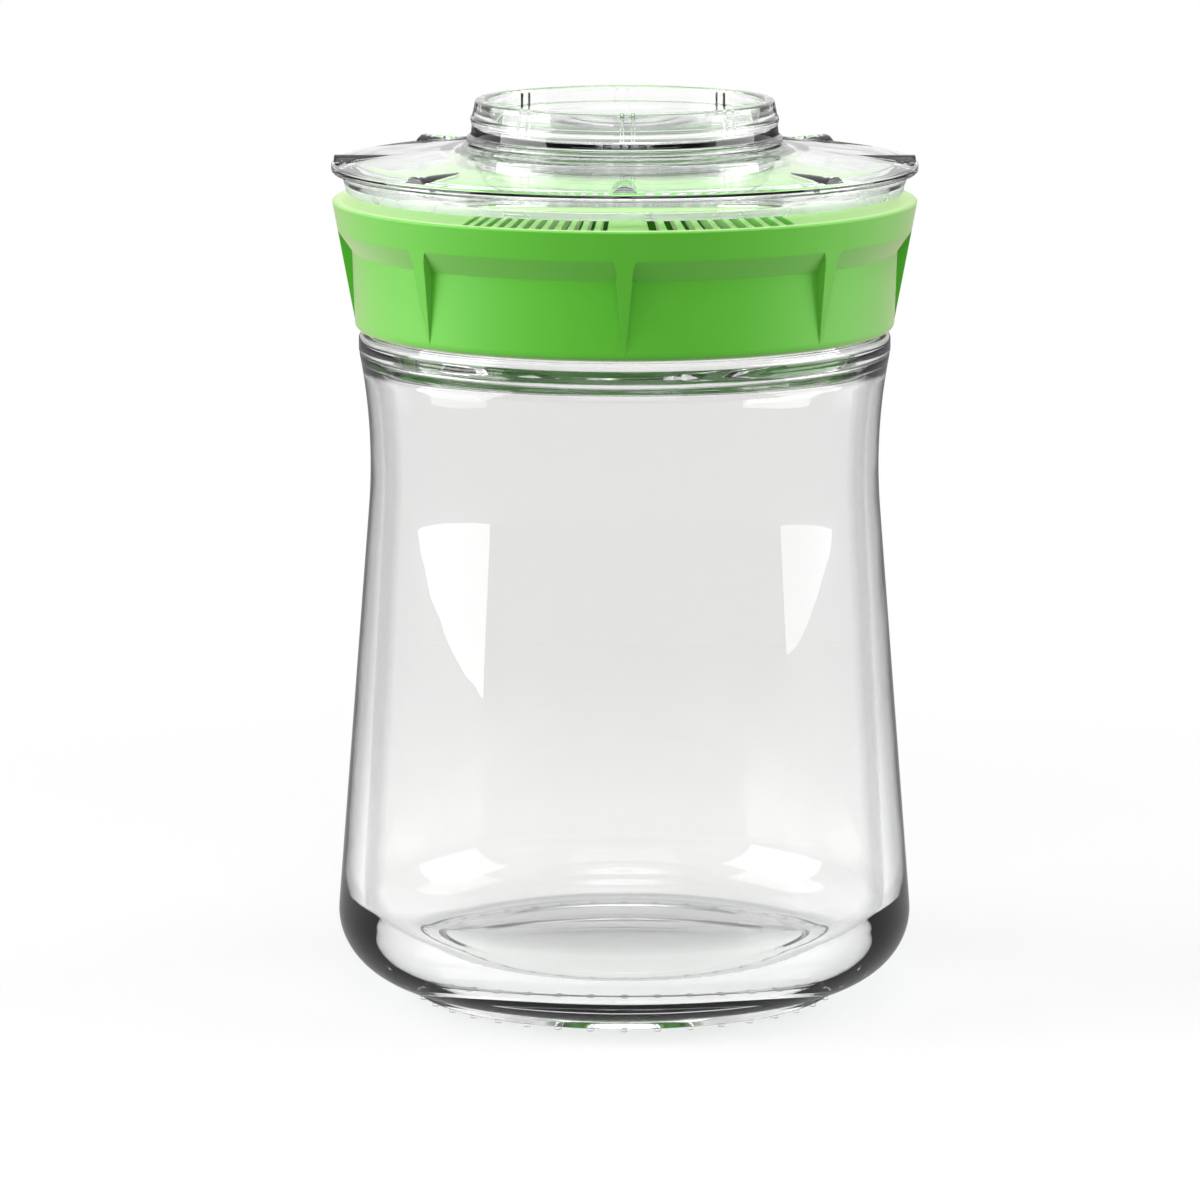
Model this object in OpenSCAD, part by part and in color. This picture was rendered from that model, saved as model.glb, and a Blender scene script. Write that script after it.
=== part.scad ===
// Fermentation jar: a flared glass jar, a screw collar with a strainer deck, a clear screw
// cover and a push-in cap that carries a one-way valve as its airlock.
// Millimetres, +Z up. The origin is the centre of the plane that the foot stands on, and
// the front, with the fine and coarse slots, faces -Y.

/* [Glass jar] */
// Height from the standing plane to the shoulder where the neck begins
body_h = 126.2; // [116:0.2:140]
// Height of the neck above the shoulder
neck_h = 18.2; // [15:0.2:24]
// Outer radius of the neck, at the root of its thread
neck_r = 46.4; // [40:0.2:54]
// Glass thickness of the neck
neck_wall = 2.2; // [1.6:0.1:3.4]
// Height of the bead under the collar
bead_h = 4; // [3:0.2:6]
// How far the bead lies inside the collar's lower edge
bead_step = 0.45; // [0.2:0.05:1]
// How far the waist lies inside the bead
waist_in = 2.1; // [1:0.1:4]
// Height of the waist, the narrowest point
waist_z = 101.5; // [90:0.5:110]
// How far the widest point stands out from the bead
belly_out = 4.3; // [2:0.1:7]
// Height of the widest point
belly_z = 15.7; // [12:0.1:22]
// Width of the rounded heel, from the widest point in to the foot
heel_w = 13.1; // [9:0.1:16]
// Height of the foot ring
foot_h = 2.3; // [1.6:0.1:4]
// Width of the foot ring's bearing face
foot_w = 4; // [3:0.1:6]
// How far the underside is pushed up inside the foot ring
punt_h = 1.5; // [0.8:0.1:3]
// Height of the small studs on the foot's bearing face
stud_h = 0.5; // [0.3:0.05:0.8]
// Radius of one stud
stud_r = 0.65; // [0.4:0.05:0.9]
// Number of studs round the foot
stud_count = 40; // [24:1:60]
// Glass thickness under the shoulder
wall_shoulder = 2.2; // [1.6:0.1:3]
// Glass thickness at the waist
wall_waist = 2.5; // [1.8:0.1:3.5]
// Glass thickness above the heel
wall_base = 4.4; // [3:0.1:6]
// Height of the inner floor
floor_z = 8.6; // [6:0.1:11]
// Width of the rounded inner heel
inner_heel_w = 10; // [7:0.1:13]
// Height of the rounded inner heel
inner_heel_h = 11; // [7:0.1:14]

/* [Jar thread] */
// Height that one turn of the collar climbs
jar_pitch = 4; // [3:0.1:5]
// Depth of the thread
jar_thread_d = 1.5; // [1:0.1:2]
// Turns of thread on the glass and in the collar
jar_turns = 1.2; // [0.8:0.05:1.4]
// Distance from the shoulder up to the start of the glass thread
jar_thread_up = 3.6; // [3:0.1:5]

/* [Collar] */
// Wall thickness at the collar's lower edge
collar_wall = 2.24; // [1.6:0.02:3]
// Lean of the collar's outer face from the vertical, in degrees
collar_lean = 10.4; // [6:0.1:14]
// Height of the plain band above the grip panels
band_h = 5.57; // [4:0.1:8]
// Height of the sloping shelf under that band
shelf_h = 3.9; // [2:0.1:6]
// Depth of the grip panels under the shelf
panel_d = 2; // [1:0.1:2.4]
// Width of a grip rib below its flare
rib_w = 2.8; // [2:0.1:4]
// Width that a rib flares out on each side at the shelf
rib_flare = 1.5; // [0.5:0.1:2.5]
// Width of a rib at its lower tip
rib_tip_w = 0.5; // [0.3:0.1:1]
// Number of ribs, and of the ridges on the cover
rib_count = 8; // [6:1:12]
// Width of the flat lip round the collar's rim
lip_w = 1.9; // [1.2:0.1:3]
// Thickness of the ledge that presses on the gasket
ledge_t = 1.6; // [1.2:0.1:2.4]
// Height from the ledge to the collar's rim
chamber_h = 3.7; // [3:0.1:6]
// Wall thickness of the collar around the chamber under the deck
chamber_wall = 2.6; // [1.8:0.1:3.6]

/* [Strainer deck] */
// Rise of the deck towards the middle, in degrees
deck_rise = 15; // [10:0.5:18]
// Thickness of the deck
deck_t = 1.8; // [1.2:0.1:2.4]
// Number of fine slots
fine_count = 12; // [8:1:16]
// Width of a fine slot
fine_w = 1.15; // [0.8:0.05:1.4]
// Angle from one fine slot to the next
fine_step = 2.65; // [2.4:0.05:3]
// Angle from the front to the first fine slot
fine_start = 4.05; // [3:0.05:6]
// Number of coarse slots
coarse_count = 9; // [6:1:11]
// Width of a coarse slot
coarse_w = 1.9; // [1.5:0.05:2.3]
// Angle from one coarse slot to the next
coarse_step = 3.62; // [3.4:0.02:4]
// Angle from the front to the first coarse slot
coarse_start = 5.8; // [4:0.05:8]
// Length of the slots
slot_l = 12; // [8:0.5:14]

/* [Cover] */
// Radius of the opening that the cap plugs
opening_r = 27.3; // [20:0.1:29]
// Wall thickness of the threaded tube round that opening
tube_wall = 2.3; // [1.6:0.1:3]
// Length of the tube below the dome
tube_l = 9.6; // [8.6:0.1:10.4]
// Height that one turn of the cover climbs
cover_pitch = 3; // [2.6:0.1:3.4]
// Depth of the cover's thread
cover_thread_d = 0.9; // [0.6:0.1:1.2]
// Turns of thread on the tube
cover_turns = 1; // [0.8:0.05:1.2]
// Distance from the tube's end up to the start of its thread
cover_thread_up = 2.3; // [1.4:0.1:2.8]
// Gap between the cover's seal and the deck, with the cover turned up to vent
vent_gap = 1.36; // [1:0.02:2]
// How far the flange reaches past the collar's rim
flange_out = 0.1; // [-0.5:0.1:1]
// Thickness of the flange
flange_t = 1.6; // [1.2:0.1:2.4]
// Width of the flange outside the skirt
flange_w = 1.8; // [1:0.1:3]
// Height of the skirt between flange and seal
skirt_h = 2.1; // [1.6:0.1:3]
// Lean of the skirt from the vertical, in degrees
skirt_lean = 16; // [8:1:20]
// Wall thickness of the skirt
skirt_wall = 2.1; // [1.8:0.1:2.4]
// Wall thickness of the dome
dome_t = 1.7; // [1.3:0.1:2]
// Rise of the dome towards the middle, in degrees
dome_rise = 6.5; // [4:0.5:9]
// Width of the raised seat round the opening
seat_w = 3.2; // [2.8:0.1:4]
// Height of that seat above the dome
seat_h = 0.7; // [0.5:0.1:1.4]
// Width of one half-round ridge on the dome
ridge_w = 5; // [3:0.1:7]
// Height of a ridge at the flange
ridge_h = 1.3; // [0.8:0.1:1.8]
// Length of a ridge
ridge_l = 15; // [10:0.5:17]

/* [Cap] */
// Height of the cap above the cover's seat
cap_h = 8.3; // [6.5:0.1:12]
// Wall thickness of the cup
cup_wall = 2; // [1.5:0.1:2.6]
// How far the cup wall stands out from the plug, at the top
cup_out = 1.05; // [0.6:0.05:1.6]
// Length of the plug inside the opening
plug_l = 5.5; // [5:0.1:7]
// Wall thickness of the plug
plug_wall = 3.45; // [2.8:0.05:4]
// How far the cap's foot flange stands out from the plug
foot_out = 2.65; // [2:0.05:2.8]
// Thickness of the foot flange
foot_t = 1.2; // [0.8:0.1:1.6]
// Height of the cup's floor above the seat, at its edge
cup_floor = 2.2; // [1.8:0.1:2.8]
// Thickness of the cup's floor
cup_floor_t = 1.5; // [1.2:0.1:1.8]
// Rise of the floor to the valve seat
floor_rise = 1.3; // [0.8:0.1:1.6]
// Radius of the valve seat in the floor
valve_seat_r = 7; // [6.5:0.1:9]
// Number of pairs of small ribs inside the cup
pair_count = 8; // [6:1:12]
// Distance between the two ribs of a pair
pair_gap = 2; // [1.4:0.1:3]
// Radius of one small rib
pair_r = 0.35; // [0.25:0.05:0.5]
// How far the cap is turned from the front, in degrees
cap_turn = 1.1; // [-5:0.1:5]

/* [Seals and valve] */
// Thickness of the gasket on the glass rim
gasket_t = 1.4; // [1:0.1:2]
// Height of the cover's seal
seal_h = 1.6; // [1.4:0.1:2.2]
// Thickness of the seal outside the skirt's spigot
seal_t = 0.9; // [0.8:0.05:1.1]
// Radius of the cap ring's round section
ring_r = 0.95; // [0.8:0.05:1]
// Radius of the valve's umbrella
umbrella_r = 6; // [5:0.1:6.3]
// Height of the umbrella
umbrella_h = 1.3; // [0.9:0.1:1.4]
// Radius of the valve's stem
stem_r = 1.5; // [1.2:0.1:1.8]
// How far the stem's bulb stands out from the stem
bulb_out = 1; // [0.7:0.1:1.3]
// How far the valve can lift
valve_travel = 0.8; // [0.5:0.1:1]
// Radius of the gas holes under the umbrella
gas_hole_r = 0.7; // [0.5:0.1:0.8]
// Number of gas holes
gas_hole_count = 6; // [4:1:8]

/* [Clearances] */
// Between a thread and the wall that it runs in
thread_clear = 0.4; // [0.3:0.05:0.6]
// Between the glass shoulder and the collar's lower edge
collar_gap = 0.76; // [0.4:0.02:1]
// Between a seal and what it seals
seal_clear = 0.1; // [0.05:0.01:0.2]
// Between the cap's plug and the opening
plug_clear = 0.25; // [0.15:0.05:0.4]
// Between the cap's foot flange and the cover's seat
seat_clear = 0.2; // [0.1:0.05:0.3]
// Between the valve's stem and its hole
stem_clear = 0.3; // [0.2:0.05:0.4]

/* [Hidden] */
$fn = 96;

// How deep a thread, rib or ridge is sunk into the wall that carries it
sink = 0.6;
// Edge rounding of the glass rim and of the clear mouldings
glass_edge = 1;
clear_edge = 0.5;

// Radii that follow the jar's neck outwards
collar_bore = neck_r + jar_thread_d + thread_clear;
collar_foot_r = collar_bore + collar_wall;
bead_r = collar_foot_r - bead_step;
waist_r = bead_r - waist_in;
belly_r = bead_r + belly_out;
foot_top_r = belly_r - heel_w;
foot_r = foot_top_r - 0.3 * foot_h;

// Heights that follow the jar upwards
bead_z = body_h - bead_h;
rim_z = body_h + neck_h;
collar_z = body_h + collar_gap;
ledge_z = rim_z + gasket_t + 2 * seal_clear;
collar_top = ledge_z + ledge_t + chamber_h;
collar_h = collar_top - collar_z;
rim_r = collar_foot_r + collar_h * tan(collar_lean);
lip_r = rim_r - lip_w;
shelf_top = collar_top - band_h;
shelf_low = shelf_top - shelf_h;

// Radii that follow the cap's opening outwards
tube_r = opening_r + tube_wall;
well_bore = tube_r + cover_thread_d + thread_clear;
well_r = well_bore + 2;
seat_r = opening_r + seat_w;

// Heights and radii of the cover
function deck_z(r) = collar_top + (lip_r - r) * tan(deck_rise);
well_top = deck_z(well_r) + 0.3;
flange_r = rim_r + flange_out;
skirt_r = flange_r - flange_w;
seal_r = skirt_r - (skirt_h + seal_h) * tan(skirt_lean);
seal_z = deck_z(seal_r) + vent_gap;
skirt_z = seal_z + seal_h;
flange_z = skirt_z + skirt_h;
flange_top = flange_z + flange_t;
skirt_low_r = skirt_r - skirt_h * tan(skirt_lean);
skirt_in = skirt_low_r - skirt_wall;
spigot_r = seal_r - seal_t + 0.35;
function dome_z(r) = flange_top + (flange_r - r) * tan(dome_rise);
seat_z = dome_z(seat_r) + seat_h;
fillet_r = seat_r + 4;
tube_z = dome_z(tube_r) - dome_t - tube_l;

// Heights and radii of the cap
plug_r = opening_r - plug_clear;
plug_in = plug_r - plug_wall;
cap_z = seat_z + seat_clear;
cap_foot_r = plug_r + foot_out;
cup_r = plug_r + cup_out;
cap_top = seat_z + cap_h;
cup_in = cup_r - cup_wall;
cup_floor_z = seat_z + cup_floor;
valve_z = cup_floor_z + floor_rise;
plug_z = cap_z - plug_l;
ring_z = plug_z + 0.4 * plug_l;
ring_path_r = opening_r - seal_clear - ring_r;
groove_r = ring_path_r - ring_r - seal_clear / 2;

// Points along an arc of an ellipse, from angle a0 to angle a1
function arc(c, rx, ry, a0, a1, n) =
    [for (i = [0:n]) let (a = a0 + (a1 - a0) * i / n) [c[0] + rx * cos(a), c[1] + ry * sin(a)]];
// Value between a and b, at share t of the way
function mix(a, b, t) = a + (b - a) * t;
// Smooth step from 0 to 1
function ease(t) = (1 - cos(180 * t)) / 2;

// The jar's outer face: a rounded heel, a straight flank, and an arc through the waist that
// meets the bead. The flank leans so that it leaves the heel and joins the arc smoothly.
waist_dr = bead_r - 0.15 - waist_r;
waist_dz = bead_z - waist_z;
waist_arc = (waist_dz * waist_dz + waist_dr * waist_dr) / (2 * waist_dr);
flank_lean = atan((belly_r - waist_r) / (waist_z - belly_z)) * 1.06;
flank_top_z = waist_z - waist_arc * sin(flank_lean);
flank_top_r = waist_r + waist_arc * (1 - cos(flank_lean));
heel_sweep = 81.5;
heel_a = heel_w / (1 - cos(heel_sweep));
heel_b = (belly_z - foot_h) / sin(heel_sweep);
heel_end = atan(tan(flank_lean) * heel_b / heel_a);
heel_points = arc([belly_r - heel_a, belly_z], heel_a, heel_b, -heel_sweep, heel_end, 16);
flank_low = heel_points[16];
waist_angle = asin(waist_dz / waist_arc);
waist_points = arc([waist_r + waist_arc, waist_z], waist_arc, waist_arc,
                   180 + flank_lean, 180 - waist_angle, 14);
bead_points = arc([bead_r - 1, bead_z + 1], 1, 1, -40, 0, 4);
shoulder_points = arc([bead_r - 1.2, body_h - 1.2], 1.2, 1.2, 0, 90, 6);

// Glass thickness at the waist and above, and on the flank below it
function wall_above(z) = mix(wall_waist, wall_shoulder, (z - waist_z) / (bead_z - waist_z));
function wall_below(z) = mix(wall_waist, wall_base, (waist_z - z) / (waist_z - belly_z));
function wall(z) = z > waist_z ? wall_above(z) : wall_below(z);
neck_in = neck_r - neck_wall;
inner_low_z = floor_z + inner_heel_h;
inner_low_r = mix(flank_low[0], flank_top_r,
                  (inner_low_z - flank_low[1]) / (flank_top_z - flank_low[1])) - wall(inner_low_z);
inner_heel = arc([inner_low_r - inner_heel_w, inner_low_z], inner_heel_w, inner_heel_h, -90, 0, 10);
inner_waist = [for (p = waist_points) if (p[1] < bead_z - 3) [p[0] - wall(p[1]), p[1]]];
inner_last = inner_waist[len(inner_waist) - 1];
inner_neck = [for (i = [1:8]) [mix(inner_last[0], neck_in, ease(i / 8)),
                               mix(inner_last[1], body_h + 3, i / 8)]];

module jar_outline() {
    polygon(concat(
        [[0, stud_h + punt_h], [foot_r - foot_w - punt_h, stud_h + punt_h],
         [foot_r - foot_w, stud_h], [foot_r - 0.3, stud_h], [foot_r, stud_h + 0.3]],
        heel_points, waist_points, bead_points, shoulder_points,
        [[neck_r + 0.5, body_h + 0.1], [neck_r, body_h + 0.8]],
        arc([neck_r - glass_edge, rim_z - glass_edge], glass_edge, glass_edge, 0, 90, 5),
        arc([neck_in + glass_edge, rim_z - glass_edge], glass_edge, glass_edge, 90, 180, 5),
        [for (i = [len(inner_neck) - 1:-1:0]) inner_neck[i]],
        [for (i = [len(inner_waist) - 1:-1:0]) inner_waist[i]],
        [for (i = [len(inner_heel) - 1:-1:0]) inner_heel[i]],
        [[0, floor_z]]));
}

// A trapezoid thread swept along a helix. Its root lies sunk in the wall at radius r, its
// crest stands out by depth, outwards or, with inside set, inwards. Both ends run out into
// the wall.
module thread(r, depth, pitch, turns, z, inside = false) {
    side = inside ? -1 : 1;
    steps = ceil(turns * 40);
    runout = 3;
    root_w = 0.62 * pitch;
    crest_w = 0.26 * pitch;
    points = [for (i = [0:steps])
        let (a = 360 * turns * i / steps,
             rise = min(1, min(i, steps - i) / runout),
             crest = mix(-0.25, depth, rise),
             zi = z + pitch * turns * i / steps)
        for (p = [[-sink, -root_w / 2], [crest, -crest_w / 2], [crest, crest_w / 2],
                  [-sink, root_w / 2]])
            [(r + side * p[0]) * cos(a), (r + side * p[0]) * sin(a), zi + p[1]]];
    sides = [for (i = [0:steps - 1], k = [0:3]) each
        let (a = 4 * i + k, b = 4 * i + (k + 1) % 4) [[a, b, b + 4], [a, b + 4, a + 4]]];
    faces = concat(sides, [[3, 2, 1], [3, 1, 0],
        [4 * steps, 4 * steps + 1, 4 * steps + 2], [4 * steps, 4 * steps + 2, 4 * steps + 3]]);
    polyhedron(points, inside ? [for (f = faces) [f[2], f[1], f[0]]] : faces);
}

module glass_jar() {
    color("aliceblue", 0.4) {
        rotate_extrude() jar_outline();
        thread(neck_r, jar_thread_d, jar_pitch, jar_turns, body_h + jar_thread_up);
        for (i = [0:stud_count - 1])
            rotate([0, 0, 360 * i / stud_count]) translate([0, 0.7 - foot_r, 0])
                cylinder(r = stud_r, h = stud_h + sink, $fn = 24);
    }
}

module jar_gasket() {
    color("whitesmoke")
        translate([0, 0, rim_z + seal_clear]) difference() {
            cylinder(r = collar_bore - 2 * seal_clear, h = gasket_t);
            translate([0, 0, -1]) cylinder(r = neck_in + 0.6, h = gasket_t + 2);
        }
}

// Radius of the collar's leaning outer face at height z
function grip_r(z) = collar_foot_r + (z - collar_z) * tan(collar_lean);
panel_top_r = grip_r(shelf_low) - panel_d;
panel_low_z = collar_z + 1.4;
slot_out = lip_r - 0.1;
// Puts the seam of a revolved body midway between two ribs
seam_turn = 180 / rib_count;

module collar_outline() {
    polygon([[collar_bore, collar_z + 0.6], [collar_bore + 0.6, collar_z],
             [collar_foot_r - 1, collar_z], [collar_foot_r - 0.25, collar_z + 0.3],
             [grip_r(collar_z + 0.8), collar_z + 0.8],
             [grip_r(collar_top - 0.3), collar_top - 0.3], [rim_r - 0.35, collar_top],
             [lip_r, collar_top], [well_r, deck_z(well_r)], [well_r - 0.5, well_top],
             [well_bore + 0.5, well_top], [well_bore, well_top - 0.5],
             [well_bore, deck_z(well_r) - 8], [well_r, deck_z(well_r) - 8],
             [well_r, deck_z(well_r) - deck_t],
             [rim_r - chamber_wall, deck_z(rim_r - chamber_wall) - deck_t],
             [rim_r - chamber_wall, ledge_z + ledge_t], [neck_in + 1.4, ledge_z + ledge_t],
             [neck_in + 1.4, ledge_z], [collar_bore, ledge_z]]);
}

// The ring that is cut away for the grip panels: the panels' steep face, and the shelf above
// it carried on past the collar's outer face
module panel_outline() {
    out_r = rim_r + 2;
    low_r = grip_r(panel_low_z);
    shelf_run = grip_r(shelf_top) - panel_top_r;
    polygon([[panel_top_r, shelf_low],
             [panel_top_r + 2 * shelf_run, shelf_low + 2 * shelf_h], [out_r + 4, shelf_low],
             [out_r, panel_low_z - 2],
             [low_r - (panel_top_r - low_r) * 0.1, panel_low_z - (shelf_low - panel_low_z) * 0.1]]);
}

// One grip rib, seen from the front: a flare under the shelf, then a long taper to the tip
module rib_outline() {
    half = rib_w / 2;
    over = 0.5;
    flare = arc([half + rib_flare, shelf_low - over], rib_flare, shelf_h + 2 * over, 90, 180, 6);
    right = concat([[half + rib_flare, collar_top + shelf_h]], flare,
                   [[rib_tip_w / 2, panel_low_z], [rib_tip_w / 2, panel_low_z - 3]]);
    polygon(concat(right, [for (i = [len(right) - 1:-1:0]) [-right[i][0], right[i][1]]]));
}

module slots(count, w, step, start, side) {
    for (i = [0:count - 1])
        rotate([0, 0, side * (start + i * step)]) translate([0, -slot_out + slot_l / 2, 0])
            translate([-w / 2, -slot_l / 2, ledge_z + ledge_t + 0.2])
                cube([w, slot_l, deck_z(well_r) - ledge_z]);
}

module collar_ring() {
    color("limegreen") {
        difference() {
            rotate([0, 0, seam_turn]) rotate_extrude() collar_outline();
            difference() {
                rotate([0, 0, seam_turn]) rotate_extrude() panel_outline();
                for (i = [0:rib_count - 1])
                    rotate([90, 0, 360 * i / rib_count]) linear_extrude(rim_r + 8) rib_outline();
            }
            slots(fine_count, fine_w, fine_step, fine_start, -1);
            slots(coarse_count, coarse_w, coarse_step, coarse_start, 1);
        }
        // Each thread starts half a turn from its mate, and so lies half a pitch from it
        rotate([0, 0, 180]) {
            thread(collar_bore, jar_thread_d, jar_pitch, jar_turns, body_h + jar_thread_up,
                   inside = true);
            thread(well_bore, cover_thread_d, cover_pitch, cover_turns, tube_z + cover_thread_up,
                   inside = true);
        }
    }
}

module cover_outline() {
    polygon(concat(
        [[opening_r, tube_z + 0.4], [opening_r + 0.4, tube_z], [tube_r - 0.3, tube_z],
         [tube_r, tube_z + 0.4], [tube_r, dome_z(tube_r) - dome_t],
         [skirt_in, dome_z(skirt_in) - dome_t], [skirt_in, skirt_z],
         [skirt_in, seal_z + 0.75], [spigot_r, seal_z + 0.75], [spigot_r, skirt_z],
         [skirt_low_r, skirt_z], [skirt_r, flange_z]],
        arc([flange_r - clear_edge, flange_z + clear_edge], clear_edge, clear_edge, -90, 0, 4),
        arc([flange_r - clear_edge, flange_top - clear_edge], clear_edge, clear_edge, 0, 80, 4),
        [[fillet_r, dome_z(fillet_r)]],
        arc([fillet_r, seat_z - clear_edge], fillet_r - seat_r,
            seat_z - clear_edge - dome_z(fillet_r), 270, 180, 6),
        arc([seat_r - clear_edge, seat_z - clear_edge], clear_edge, clear_edge, 0, 90, 3),
        [[opening_r + 0.4, seat_z], [opening_r, seat_z - 0.4]]));
}

// One half-round ridge that starts at the flange and runs out on the rising dome
module ridge() {
    r = (ridge_w * ridge_w / 4 + ridge_h * ridge_h) / (2 * ridge_h);
    base = dome_z(flange_r) - 0.7;
    top = dome_z(flange_r) + ridge_h;
    translate([0, -flange_r + clear_edge + ridge_l, 0]) rotate([90, 0, 0]) linear_extrude(ridge_l)
        intersection() {
            translate([0, top - r]) circle(r);
            translate([-ridge_w, base]) square([2 * ridge_w, top - base + 1]);
        }
}

module cover() {
    color("white", 0.35) {
        rotate_extrude() cover_outline();
        for (i = [0:rib_count - 1])
            rotate([0, 0, 360 * i / rib_count]) ridge();
        thread(tube_r, cover_thread_d, cover_pitch, cover_turns, tube_z + cover_thread_up);
    }
}

module cover_seal() {
    lean = tan(skirt_lean);
    out_r = seal_r;
    top_z = skirt_z - seal_clear;
    in_r = skirt_in + seal_clear;
    color("whitesmoke")
        rotate_extrude() polygon([
            [in_r, seal_z + (out_r - in_r) * tan(deck_rise)], [out_r, seal_z],
            [out_r + (top_z - seal_z) * lean, top_z], [spigot_r + seal_clear, top_z],
            [spigot_r + seal_clear, seal_z + 0.65], [in_r, seal_z + 0.65]]);
}

module cap_outline() {
    bead_mid = mix(cap_z + foot_t, cap_top, 0.46);
    polygon(concat(
        [[0, valve_z - cup_floor_t], [valve_seat_r, valve_z - cup_floor_t],
         [plug_in, cup_floor_z - cup_floor_t], [plug_in, plug_z], [plug_r - 0.4, plug_z],
         [plug_r, plug_z + 0.4], [plug_r, ring_z - ring_r - seal_clear],
         [groove_r, ring_z - ring_r - seal_clear], [groove_r, ring_z + ring_r + seal_clear],
         [plug_r, ring_z + ring_r + seal_clear], [plug_r, cap_z], [cap_foot_r - 0.3, cap_z],
         [cap_foot_r, cap_z + 0.3]],
        arc([cap_foot_r - 0.4, cap_z + foot_t - 0.4], 0.4, 0.4, 0, 80, 3),
        [[cup_r + 0.8, cap_z + foot_t + 0.3], [cup_r + 0.6, bead_mid - 0.9]],
        arc([cup_r + 0.45, bead_mid], 0.4, 0.7, -70, 70, 5),
        [[cup_r + 0.5, bead_mid + 0.9]],
        arc([cup_r - clear_edge, cap_top - clear_edge], clear_edge, clear_edge, 0, 90, 4),
        arc([cup_in + clear_edge, cap_top - clear_edge], clear_edge, clear_edge, 90, 180, 4),
        [[cup_in, cup_floor_z + 1], [cup_in - 1, cup_floor_z], [cup_in - 3, cup_floor_z]],
        [for (i = [0:8]) [mix(cup_in - 3, valve_seat_r, i / 8),
                          mix(cup_floor_z, valve_z, ease(i / 8))]],
        [[0, valve_z]]));
}

module cap() {
    color("white", 0.35)
        rotate([0, 0, cap_turn]) {
            difference() {
                rotate_extrude() cap_outline();
                translate([0, 0, valve_z - cup_floor_t - 1])
                    cylinder(r = stem_r + stem_clear, h = cup_floor_t + 2, $fn = 32);
                for (i = [0:gas_hole_count - 1])
                    rotate([0, 0, 360 * i / gas_hole_count])
                        translate([0, 0.65 * umbrella_r, valve_z - cup_floor_t - 1])
                            cylinder(r = gas_hole_r, h = cup_floor_t + 2, $fn = 24);
            }
            for (i = [0:pair_count - 1], side = [-1, 1])
                rotate([0, 0, 360 * i / pair_count])
                    translate([side * pair_gap / 2, 0.1 - sqrt(pow(cup_in, 2) - pow(pair_gap / 2, 2)),
                               cup_floor_z + 0.6])
                        cylinder(r = pair_r, h = cap_top - cup_floor_z - 1.2, $fn = 16);
        }
}

module cap_seal() {
    color("whitesmoke")
        translate([0, 0, ring_z]) rotate_extrude() translate([ring_path_r, 0]) circle(ring_r, $fn = 32);
}

module airlock_valve() {
    dome_r = (umbrella_r * umbrella_r + umbrella_h * umbrella_h) / (2 * umbrella_h);
    half = asin(umbrella_r / dome_r);
    base = valve_z + seal_clear;
    bulb_top = valve_z - cup_floor_t - valve_travel - seal_clear;
    color("whitesmoke")
        rotate_extrude() polygon(concat(
            [[0, bulb_top - 1.1], [stem_r, bulb_top - 1.1], [stem_r + bulb_out, bulb_top - 0.4],
             [stem_r + bulb_out, bulb_top], [stem_r, bulb_top], [stem_r, base],
             [umbrella_r - 0.2, base]],
            arc([0, base + umbrella_h - dome_r], dome_r, dome_r, 90 - half * 0.95, 90, 7)));
}

glass_jar();
jar_gasket();
collar_ring();
cover();
cover_seal();
cap();
cap_seal();
airlock_valve();
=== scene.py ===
"""Looks of the fermentation jar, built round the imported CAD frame. Metres, +Z up, front at -Y."""

import math

import bmesh
import bpy
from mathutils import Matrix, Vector
from mathutils.geometry import delaunay_2d_cdt


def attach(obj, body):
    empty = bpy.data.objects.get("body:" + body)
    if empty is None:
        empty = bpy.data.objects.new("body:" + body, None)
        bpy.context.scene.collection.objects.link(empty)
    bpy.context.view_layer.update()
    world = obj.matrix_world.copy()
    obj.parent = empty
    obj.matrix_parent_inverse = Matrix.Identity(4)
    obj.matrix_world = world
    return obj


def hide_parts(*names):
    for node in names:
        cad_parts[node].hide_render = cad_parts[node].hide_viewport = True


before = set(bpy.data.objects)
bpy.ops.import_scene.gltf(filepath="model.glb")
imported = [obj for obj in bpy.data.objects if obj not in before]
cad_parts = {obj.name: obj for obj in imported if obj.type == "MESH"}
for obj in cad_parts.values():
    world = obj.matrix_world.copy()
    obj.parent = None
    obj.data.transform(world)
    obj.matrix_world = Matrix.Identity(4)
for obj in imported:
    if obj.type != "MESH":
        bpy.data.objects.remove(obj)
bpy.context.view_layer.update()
scene = bpy.context.scene
MM = 0.001


# Sizes, in millimetres
def tan(deg):
    return math.tan(math.radians(deg))


def sin(deg):
    return math.sin(math.radians(deg))


def cos(deg):
    return math.cos(math.radians(deg))


def mix(a, b, t):
    return a + (b - a) * t


def ease(t):
    return (1 - cos(180 * t)) / 2


def arc(c, rx, ry, a0, a1, n):
    """Points on an arc of an ellipse, from angle a0 to a1."""
    angles = [mix(a0, a1, i / n) for i in range(n + 1)]
    return [(c[0] + rx * cos(a), c[1] + ry * sin(a)) for a in angles]


BODY_H, NECK_H, NECK_R, NECK_WALL = 126.2, 18.2, 46.4, 2.2
BEAD_R, BEAD_Z, WAIST_R, WAIST_Z, BELLY_R, BELLY_Z = 50.09, 122.2, 47.99, 101.5, 54.39, 15.7
HEEL_W, FOOT_H, FOOT_W, PUNT_H, STUD_H, STUD_R, STUDS = 13.1, 2.3, 4.0, 1.5, 0.5, 0.65, 40
FOOT_R = BELLY_R - HEEL_W - 0.3 * FOOT_H
WALL_SHOULDER, WALL_WAIST, WALL_BASE = 2.2, 2.5, 4.4
FLOOR_Z, INNER_HEEL_W, INNER_HEEL_H = 8.6, 10.0, 11.0
RIM_Z, NECK_IN = BODY_H + NECK_H, NECK_R - NECK_WALL
JAR_PITCH, JAR_THREAD_D, JAR_TURNS, JAR_THREAD_Z = 4.0, 1.5, 1.2, BODY_H + 3.6

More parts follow.
